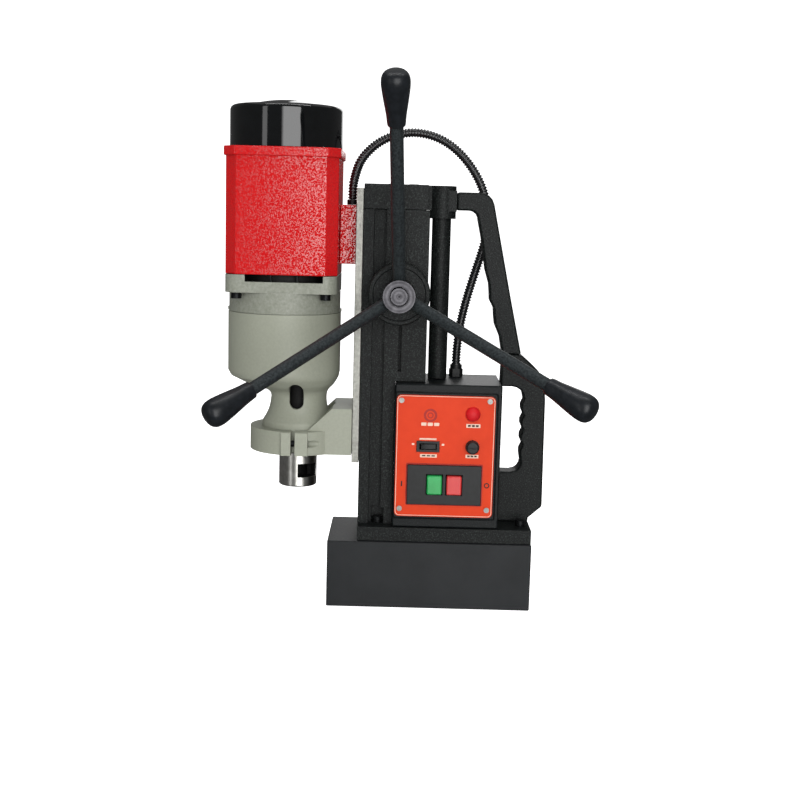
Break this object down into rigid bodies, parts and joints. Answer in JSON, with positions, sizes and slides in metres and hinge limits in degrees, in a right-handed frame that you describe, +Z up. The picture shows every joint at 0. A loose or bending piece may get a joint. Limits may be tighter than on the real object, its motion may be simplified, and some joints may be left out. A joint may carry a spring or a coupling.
{
  "type": "magnetic drill press",
  "caption": "Electromagnet-based drill press with a rack-fed motor carriage, spoked feed handle, control box and carry handle.",
  "frame": {"origin": "centre of the magnet base's underside, on the surface that it clamps to", "axes": "+Z up along the column; +X from the spindle towards the carry handle; -Y towards the operator, the side with the feed handle and the switches"},
  "size_m": [0.3451, 0.2449, 0.5054],
  "materials": {
    "black_casting": "matte",
    "black_paint": "matte",
    "base_paint": "satin",
    "red_casting": "satin",
    "grey_paint": "satin",
    "machined_steel": "satin",
    "slide_steel": "satin",
    "black_steel": "satin",
    "core_steel": "matte",
    "copper": "satin",
    "bronze": "satin",
    "gloss_black": "gloss",
    "matt_black": "satin",
    "conduit_plastic": "satin",
    "orange_panel": "satin",
    "green_button": "satin",
    "red_button": "satin",
    "red_lens": "gloss",
    "board_green": "satin"
  },
  "bodies": {
    "frame": {"magnet_housing": "base_paint", "magnet_core": "core_steel", "magnet_coil": "copper", "foot_bolt_1": "machined_steel", "foot_bolt_2": "machined_steel", "foot_bolt_3": "machined_steel", "foot_bolt_4": "machined_steel", "column_casting": "black_casting", "top_bracket": "black_casting", "gib_strip": "bronze", "gib_screw_1": "black_steel", "gib_screw_2": "black_steel", "gib_screw_3": "black_steel", "rear_post": "black_paint", "upper_handle": "black_casting", "lower_handle": "black_casting", "control_box": "black_paint", "control_box_cover": "black_paint", "control_panel": "orange_panel", "switch_block": "matt_black", "indicator_lamp": "red_lens", "rocker_bezel": "matt_black", "fuse_holder": "matt_black", "control_board": "board_green", "box_conduit_gland": "matt_black", "mains_gland": "matt_black", "conduit": "conduit_plastic", "pinion_bush_front": "bronze", "pinion_bush_rear": "bronze"},
    "feed_handle": {"pinion_shaft": "machined_steel", "feed_hub": "machined_steel", "hub_cap": "machined_steel", "lever_rod_1": "black_steel", "lever_rod_2": "black_steel", "lever_rod_3": "black_steel", "lever_knob_1": "matt_black", "lever_knob_2": "matt_black", "lever_knob_3": "matt_black"},
    "start_button": {"start_button": "green_button"},
    "stop_button": {"stop_button": "red_button"},
    "magnet_rocker": {"magnet_rocker": "matt_black"},
    "fuse_cap": {"fuse_cap": "matt_black"},
    "carriage": {"slide_plate": "slide_steel", "feed_rack": "machined_steel", "clamp_arm": "grey_paint", "clamp_screw": "black_steel", "gearcase_lower": "grey_paint", "gearcase_upper": "grey_paint", "motor_housing": "red_casting", "top_cap": "gloss_black", "terminal_box": "red_casting", "motor_conduit_gland": "matt_black", "stator_core": "core_steel", "brush_holder_front": "bronze", "brush_holder_rear": "bronze", "armature_bearing": "machined_steel", "spindle_bearing": "machined_steel"},
    "armature": {"armature": "copper"},
    "idler": {"idler_gear": "machined_steel"},
    "spindle": {"spindle": "machined_steel"}
  },
  "joints": [
    {"name": "feed_slide", "type": "slide", "parent": "frame", "child": "carriage", "axis": [0, 0, 1], "range_m": [-0.072, 0.07], "deforming": ["conduit"]},
    {"name": "feed_turn", "type": "hinge", "parent": "frame", "child": "feed_handle", "pos_m": [-0.0355, -0.07, 0.3083], "axis": [0, -1, 0], "range_deg": [-336, 346]},
    {"name": "armature_spin", "type": "hinge", "parent": "carriage", "child": "armature", "pos_m": [-0.1485, 0, 0.376], "axis": [0, 0, 1], "continuous": true},
    {"name": "idler_spin", "type": "hinge", "parent": "carriage", "child": "idler", "pos_m": [-0.1572, 0.02075, 0.26], "axis": [0, 0, 1], "continuous": true},
    {"name": "spindle_spin", "type": "hinge", "parent": "carriage", "child": "spindle", "pos_m": [-0.1335, 0, 0.15], "axis": [0, 0, 1], "continuous": true},
    {"name": "start_press", "type": "slide", "parent": "frame", "child": "start_button", "axis": [0, 1, 0], "range_m": [0, 0.003], "stiffness_N_per_m": 400},
    {"name": "stop_press", "type": "slide", "parent": "frame", "child": "stop_button", "axis": [0, 1, 0], "range_m": [0, 0.003], "stiffness_N_per_m": 400},
    {"name": "rocker_tilt", "type": "hinge", "parent": "frame", "child": "magnet_rocker", "pos_m": [-0.004, -0.046, 0.1615], "axis": [0, 0, -1], "range_deg": [0, 16]},
    {"name": "fuse_cap_turn", "type": "hinge", "parent": "frame", "child": "fuse_cap", "pos_m": [0.039, -0.0487, 0.162], "axis": [0, -1, 0], "range_deg": [0, 90]}
  ],
  "couplings": [
    {"joint": "feed_turn", "follows": "feed_slide", "rad_per_m": -83.333},
    {"joint": "idler_spin", "follows": "armature_spin", "ratio": -0.38462},
    {"joint": "spindle_spin", "follows": "armature_spin", "ratio": 0.12821}
  ]
}
